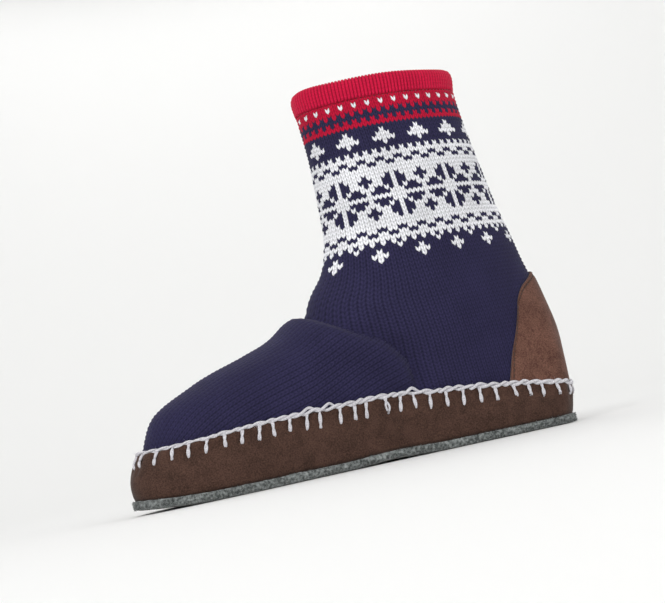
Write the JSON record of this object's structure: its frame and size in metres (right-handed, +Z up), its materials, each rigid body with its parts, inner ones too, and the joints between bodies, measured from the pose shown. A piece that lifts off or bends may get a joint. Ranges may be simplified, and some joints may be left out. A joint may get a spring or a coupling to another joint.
{
  "type": "knitted slipper boot",
  "caption": "Ankle-high knitted slipper boot for a left foot with a felt sole, suede rand and heel patch, blanket-stitched edge and a red turned hem.",
  "frame": {"origin": "on the floor, under the middle of the slipper's bounding box", "axes": "+Z up, toe towards -X, heel towards +X, outer side of the left foot towards -Y"},
  "size_m": [0.2518, 0.0842, 0.2073],
  "materials": {
    "sole_felt": "grey heather felt",
    "insole_felt": "soft grey felt",
    "navy_knit": "navy stocking-stitch wool",
    "red_knit": "red ribbed wool",
    "rand_suede": "dark brown suede",
    "patch_suede": "brown suede",
    "grey_yarn": "thick pale grey yarn"
  },
  "bodies": {
    "root": {"outsole": "sole_felt", "insole": "insole_felt", "upper": "navy_knit", "collar_hem": "red_knit", "rand": "rand_suede", "heel_patch": "patch_suede", "blanket_stitch": "grey_yarn"}
  },
  "joints": []
}
